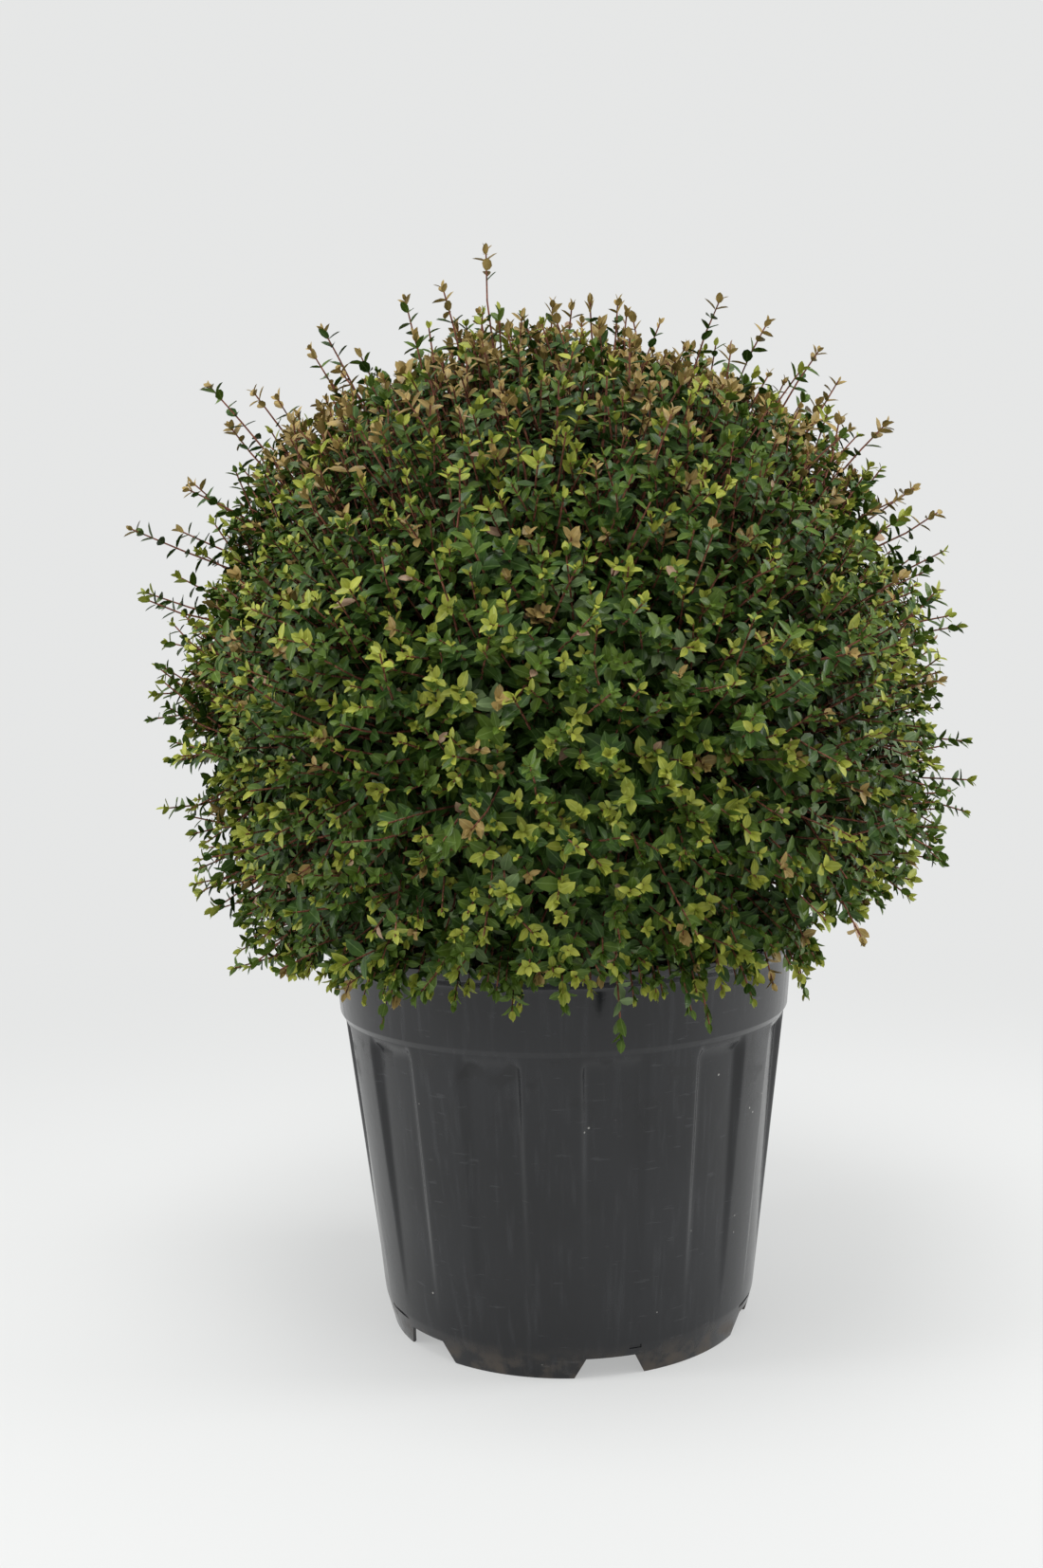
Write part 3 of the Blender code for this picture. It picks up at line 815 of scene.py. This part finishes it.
def clear_of_rim():
    """Which sprays don't pass through the pot's rim."""
    shares = np.tile(np.linspace(0.0, 1.0, 12), (len(tips), 1))
    places = along(bases[:, None], bends[:, None], tips[:, None], shares)[0]
    radii = np.hypot(places[..., 0], places[..., 1])
    in_rim = (places[..., 2] < RIM_TOP) & (radii > RIM_INSIDE) & (radii < RIM_OUTSIDE)
    return ~in_rim.any(axis=1)


clear = clear_of_rim()
clear[-len(special) - len(hanging) :] = True
directions, tips, is_inner = directions[clear], tips[clear], is_inner[clear]
lengths, bases, bends = lengths[clear], bases[clear], bends[clear]

# Twigs: thin reddish-brown wood that forks from each bough's end to the sprays. A spray's foot is
# joined to the nearest fork, and each group of forks to one branchlet, all drawn as fine tubes.
TWIG_SIDES = 3
SPRAYS_TO_A_FORK = 6
FORKS_TO_A_BRANCHLET = 5
FORK_SETBACK = 0.26
BRANCHLET_SETBACK = 0.42
BEYOND_HEEL = 0.05
OLD_TWIGS = (  # kind, sway, radius where it starts and ends, rings
    ("branchlet", 0.10, 0.0021, 0.0014, 6),
    ("fork", 0.12, 0.0013, 0.0009, 5),
    ("foot", 0.12, 0.00085, 0.00078, 3),
)
YOUNG_TWIG = (0.00078, 0.00050, 4)
OLD_TWIG_BARK = ((0.040, 0.024, 0.017), (0.17, 0.105, 0.075))
YOUNG_TWIG_BARK = ((0.085, 0.026, 0.016), (0.26, 0.095, 0.055))


def tubes(starts, middles, ends, thick, thin, rings):
    """Corners of many tapering tubes along curves with three control points."""
    count = len(starts)
    shares = np.tile(np.linspace(0.0, 1.0, rings), (count, 1))
    places, tangents = along(starts[:, None], middles[:, None], ends[:, None], shares)
    first, second = side_vectors(tangents[:, :, None])
    radii = thick + (thin - thick) * shares[..., None, None]
    angles = np.arange(TWIG_SIDES) * math.tau / TWIG_SIDES
    return (places[:, :, None] + radii * round_line(angles, first, second)).reshape(-1, 3)


def gathered(places, size):
    """Deal places into groups of near neighbours: each one's group, and the groups' middles."""
    count = max(1, round(len(places) / size))
    middles = places[rng.permutation(len(places))[:count]].copy()
    for _ in range(5):
        nearest = np.argmin(np.linalg.norm(places[:, None] - middles[None], axis=2), axis=1)
        for group in range(count):
            if np.any(nearest == group):
                middles[group] = places[nearest == group].mean(axis=0)
    return nearest, middles


heel_places = np.array([heels[name] for name in bough_names])
heel_leads = heel_places + BEYOND_HEEL * unit(heel_places - CROWN_CENTRE)
limb_of_spray = np.argmin(np.linalg.norm(bases[:, None] - heel_leads[None], axis=2), axis=1)
joints = {kind: [] for kind, *_ in OLD_TWIGS}
for limb, heel in enumerate(heel_places):
    feet = bases[limb_of_spray == limb]
    if len(feet) == 0:
        continue
    fork_of, forks = gathered(feet, SPRAYS_TO_A_FORK)
    forks += FORK_SETBACK * (heel - forks)
    branchlet_of, branchlets = gathered(forks, FORKS_TO_A_BRANCHLET)
    branchlets += BRANCHLET_SETBACK * (heel - branchlets)
    joints["foot"].append((forks[fork_of], feet))
    joints["fork"].append((branchlets[branchlet_of], forks))
    joints["branchlet"].append((np.repeat(heel[None], len(branchlets), axis=0), branchlets))


def joined_run(kind, sway):
    """Starts, bends and ends of one kind of twig."""
    starts, ends = (np.concatenate(places) for places in zip(*joints[kind]))
    spans = np.linalg.norm(ends - starts, axis=1, keepdims=True)
    return starts, 0.5 * (starts + ends) + unit(rng.normal(size=ends.shape)) * (sway * spans), ends


def twig_piece(name, runs, finish):
    """One joined mesh of twigs from runs of starts, bends, ends, two radii and rings."""
    corners = []
    faces = []
    count = 0
    for starts, middles, ends, thick, thin, rings in runs:
        corners.append(tubes(starts, middles, ends, thick, thin, rings))
        faces.append(tube_faces(len(starts), rings, TWIG_SIDES) + count)
        count += len(corners[-1])
    mesh = mesh_from_arrays(name, np.concatenate(corners), np.concatenate(faces))
    piece = add_object(name, mesh, finish)
    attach(piece, "root")
    return piece


twig_piece(
    "old_twigs",
    [(*joined_run(kind, sway), *sizes) for kind, sway, *sizes in OLD_TWIGS],
    bark_finish("old_twig_bark", *OLD_TWIG_BARK, 700.0),
)
twig_piece(
    "young_twigs",
    [(bases, bends, tips, *YOUNG_TWIG)],
    bark_finish("young_twig_bark", *YOUNG_TWIG_BARK, 900.0),
)

# Leaves: small ovate leaves in opposite pairs, each pair square to the last, with a rosette of
# young ones at the tip. A leaf is a folded blade of eight faces, its midrib below its edges. The
# leaves of a spray are dealt into tints: green, young yellow-green, bronze, and a few grey or dry.
PAIR_DISTANCES = np.array((0.0004, 0.0024, 0.0062, 0.0114, 0.0176, 0.0245, 0.0320, 0.0400, 0.0485))
PAIR_LENGTHS = np.array((0.0052, 0.0069, 0.0080, 0.0087, 0.0092, 0.0094, 0.0094, 0.0092, 0.0090))
PAIR_SPREADS = np.radians((20.0, 38.0, 50.0, 58.0, 62.0, 64.0, 66.0, 68.0, 70.0))
BLADE = np.array(  # along, across and above, in lengths, half widths and lengths
    (
        (0.0, 0.0, 0.0),
        (0.48, 0.0, -0.02),
        (1.0, 0.0, -0.08),
        (0.16, 0.66, 0.06),
        (0.44, 1.0, 0.07),
        (0.78, 0.68, 0.02),
        (0.16, -0.66, 0.06),
        (0.44, -1.0, 0.07),
        (0.78, -0.68, 0.02),
    )
)
BLADE_FACES = np.array(
    ((0, 6, 1), (6, 7, 1), (7, 8, 1), (8, 2, 1), (0, 1, 3), (3, 1, 4), (4, 1, 5), (5, 1, 2))
)
TURN_SCATTER = 0.22
SPREAD_SCATTER = 0.16
FACE_UP = 0.42
FACE_OUT = 0.18
FACE_SCATTER = 0.46
VIGOUR = (1.0, 0.14)
VIGOUR_LIMITS = (0.75, 1.5)
PROUD_VIGOUR = 1.05
LENGTH_SCATTER = 0.10
HALF_WIDTHS = (0.24, 0.33)
DEEP, MID, YOUNG, BRONZE, GREY, DRY = range(6)
TINT_PATCHES = 14.0
BRONZE_SHARES = (0.06, 0.80)
BRONZE_FROM = 0.46
BRONZE_RISE = 0.12
PROUD_BRONZE_ABOVE = 0.47
BRIGHT_SHARE = 0.68
GREY_SHARE = 0.045
DRY_SHARE = 0.005
LOST_SHARE = 0.06
SHORTEST_SHARE = 0.10
BARER_ABOVE = 0.49
BARER_SHARE = 0.35

sprays = len(tips)
pairs = len(PAIR_DISTANCES)
each = (sprays, pairs, 2)
shares = 1.0 - PAIR_DISTANCES[None, :] / lengths[:, None]
stalk_places, stalks = along(
    bases[:, None], bends[:, None], tips[:, None], np.clip(shares, 0.0, 1.0)
)
stalks = stalks[:, :, None]
first_side, second_side = side_vectors(stalks)
quarter_turns = np.arange(pairs)[None, :, None] * (0.5 * math.pi)
turns = rng.uniform(0.0, math.tau, (sprays, 1, 1)) + quarter_turns
turns = turns + np.array((0.0, math.pi)) + rng.normal(0.0, TURN_SCATTER, each)
away = round_line(turns, first_side, second_side)
spread = PAIR_SPREADS[None, :, None] + rng.normal(0.0, SPREAD_SCATTER, each)
axis = round_line(spread, stalks, away)
face = round_line(spread, -away, stalks)
outward = directions[:, None, None, :]
face = unit(
    face
    + FACE_UP * UPWARD * (1.0 - 0.9 * np.clip(outward[..., 2:3], 0.0, 1.0))
    + FACE_OUT * outward * LEVEL
    + FACE_SCATTER * unit(rng.normal(size=face.shape))
)
axis = unit(axis - np.sum(axis * face, axis=-1, keepdims=True) * face)
across = np.cross(face, axis)
vigour = np.clip(rng.normal(*VIGOUR, (sprays, 1, 1)), *VIGOUR_LIMITS)
proud = slice(sprays - len(special) - len(hanging), sprays - len(hanging))
vigour[proud] = PROUD_VIGOUR
size = PAIR_LENGTHS[None, :, None] * vigour * rng.normal(1.0, LENGTH_SCATTER, each)
half_width = size * rng.uniform(*HALF_WIDTHS, each)

height = tips[:, 2]
patch = np.array([noise.noise(Vector(tip * TINT_PATCHES)) for tip in tips])
bronzing = smooth_step((height + 0.05 * patch - BRONZE_FROM) / BRONZE_RISE)
is_bronze = rng.random(sprays) < np.interp(bronzing, (0.0, 1.0), BRONZE_SHARES)
is_bright = rng.random(sprays) < BRIGHT_SHARE + 0.5 * patch
is_grey = rng.random(sprays) < GREY_SHARE
is_bronze[proud] |= height[proud] > PROUD_BRONZE_ABOVE
is_bright[proud] = True
order = np.broadcast_to(np.arange(pairs)[None, :, None], each)
tint = np.full(each, DEEP)
mid_pairs = rng.integers(2, 6, (sprays, 1, 1))
tint[(order < mid_pairs) & ~is_inner[:, None, None]] = MID
young_pairs = rng.integers(1, 4, (sprays, 1, 1))
tint[(order < young_pairs) & (is_bright & ~is_inner)[:, None, None]] = YOUNG
tint[(order < young_pairs + 1) & (is_bronze & ~is_inner)[:, None, None]] = BRONZE
tint[(order > 2) & is_grey[:, None, None]] = GREY
tint[rng.random(each) < DRY_SHARE] = DRY
present = (shares > SHORTEST_SHARE)[:, :, None] & (rng.random(each) > LOST_SHARE)
present &= ~(is_inner[:, None, None] & (order < 1))
barer = (order > 3) & (height[:, None, None] > BARER_ABOVE)
present &= ~(barer & (rng.random(each) < BARER_SHARE))

leaf_tints = {
    "deep_green_leaves": (DEEP, (0.017, 0.044, 0.006), (0.040, 0.088, 0.012)),
    "mid_green_leaves": (MID, (0.040, 0.078, 0.008), (0.086, 0.142, 0.016)),
    "young_leaves": (YOUNG, (0.170, 0.210, 0.022), (0.350, 0.370, 0.056)),
    "bronze_leaves": (BRONZE, (0.175, 0.122, 0.036), (0.370, 0.262, 0.090)),
    "grey_green_leaves": (GREY, (0.085, 0.135, 0.050), (0.160, 0.225, 0.095)),
    "dry_leaves": (DRY, (0.240, 0.140, 0.090), (0.420, 0.290, 0.190)),
}
MIDRIB_PALER_BY = (0.09, 0.12, 0.05)
MOST_LEAVES = 24500


def leaf_finish(name, dark, pale):
    """A waxy leaf: tint changing from leaf to leaf, with a paler midrib and edge."""
    finish = Finish(name, 0.42, 0.20)
    blade = finish.node("ShaderNodeUVMap", {"uv_map": "blade"})
    across_blade = abs(finish.node("ShaderNodeSeparateXYZ", None, {0: blade}, output="X") - 0.5)
    spray_tint = finish.grain(55.0, 2.0).ramp(0.36, 0.64)
    leaf_tint = finish.grain(190.0, 1.0).ramp(0.34, 0.66)
    rib = 1.0 - across_blade.ramp(0.015, 0.055)
    edge = across_blade.ramp(0.40, 0.50)
    body = finish.blend(0.5 * spray_tint + 0.5 * leaf_tint, dark, pale)
    lighter = tuple(0.9 * value + more for value, more in zip(pale, MIDRIB_PALER_BY))
    finish.colour(finish.blend(0.50 * rib + 0.10 * edge, body, lighter))
    finish.roughness(0.34 + 0.16 * leaf_tint)
    finish.relief(finish.grain(900.0, 2.0), 0.00012)
    return finish


def leaf_piece(name, chosen, finish):
    """Join the chosen leaves into one mesh, with each blade's own map."""
    feet = np.broadcast_to(stalk_places[:, :, None], axis.shape)[chosen]
    sides = np.stack((axis[chosen], across[chosen], face[chosen]), axis=1)
    sides *= np.stack((size[chosen], half_width[chosen], size[chosen]), axis=1)[..., None]
    corners = feet[:, None, :] + BLADE @ sides
    count = len(corners)
    faces = (np.arange(count)[:, None, None] * len(BLADE) + BLADE_FACES[None]).reshape(-1, 3)
    mesh = mesh_from_arrays(name, corners.reshape(-1, 3), faces)
    blade = mesh.uv_layers.new(name="blade")
    flat = np.stack((0.5 + 0.5 * BLADE[:, 1], BLADE[:, 0]), axis=1)[BLADE_FACES.ravel()]
    blade.data.foreach_set("uv", np.tile(flat, (count, 1)).astype(np.float32).ravel())
    piece = add_object(name, mesh, finish)
    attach(piece, "root")
    return piece


for leaf_name, (leaf_tint, dark, pale) in leaf_tints.items():
    picked = np.argwhere(present & (tint == leaf_tint))
    waxy = leaf_finish(leaf_name, dark, pale)
    parts = max(1, math.ceil(len(picked) / MOST_LEAVES))
    for part, share in enumerate(np.array_split(picked, parts)):
        leaves = leaf_piece(f"{leaf_name}_{part + 1}", tuple(share.T), waxy)
        if leaf_tint == MID and part == 0:
            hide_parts(*foliage_names)

# Stage: a pale matt floor that runs on into pale surroundings, under broad soft light. The floor
# gives a little light of its own, and fades with distance to the tone of the surroundings.
FLOOR_SIZE = 30.0
FLOOR_TONE = (0.34, 0.342, 0.34)
FLOOR_GLOW = (0.395, 0.399, 0.397)
FLOOR_FADE = (0.30, 1.30)
STAGE_TONE = (0.790, 0.797, 0.794)

floor_shape = bmesh.new()
bmesh.ops.create_grid(floor_shape, x_segments=2, y_segments=2, size=FLOOR_SIZE)
floor_mesh = bpy.data.meshes.new("floor")
floor_shape.to_mesh(floor_mesh)
floor_shape.free()
floor_finish = Finish("matt_floor", 0.9, 0.2)
distance = floor_finish.node(
    "ShaderNodeVectorMath", {"operation": "LENGTH"}, {0: floor_finish.place}, output="Value"
)
far = distance.ramp(*FLOOR_FADE)
floor_finish.colour(floor_finish.blend(far, FLOOR_TONE, (0.0, 0.0, 0.0)))
glow = floor_finish.blend(far, FLOOR_GLOW, STAGE_TONE)
floor_finish.feed(floor_finish.shader.inputs["Emission Color"], glow)
floor_finish.shader.inputs["Emission Strength"].default_value = 1.0
floor_finish.shader.inputs["Specular IOR Level"].default_value = 0.0
floor = add_object("floor", floor_mesh, floor_finish)

world = bpy.data.worlds.new("soft_studio")
world.use_nodes = True
sky = world.node_tree.nodes["Background"]
sky.inputs["Color"].default_value = (*STAGE_TONE, 1.0)
sky.inputs["Strength"].default_value = 1.0
bpy.context.scene.world = world


def soft_light(name, place, target, sides, watts):
    """A soft box that faces a target."""
    data = bpy.data.lights.new(name, "AREA")
    data.shape = "RECTANGLE"
    data.size, data.size_y = sides
    data.energy = watts
    lamp = bpy.data.objects.new(name, data)
    lamp.location = place
    lamp.visible_camera = False
    lamp.rotation_euler = (Vector(target) - Vector(place)).to_track_quat("-Z", "Y").to_euler()
    bpy.context.scene.collection.objects.link(lamp)


soft_light("overhead_box", (-0.2, -0.7, 2.3), (0.0, 0.0, 0.35), (1.0, 1.0), 27.0)
soft_light("left_box", (-1.1, -0.30, 0.55), (0.0, 0.0, 0.20), (0.28, 1.0), 6.0)
soft_light("right_box", (1.1, -0.10, 0.55), (0.0, 0.0, 0.20), (0.40, 1.0), 8.5)
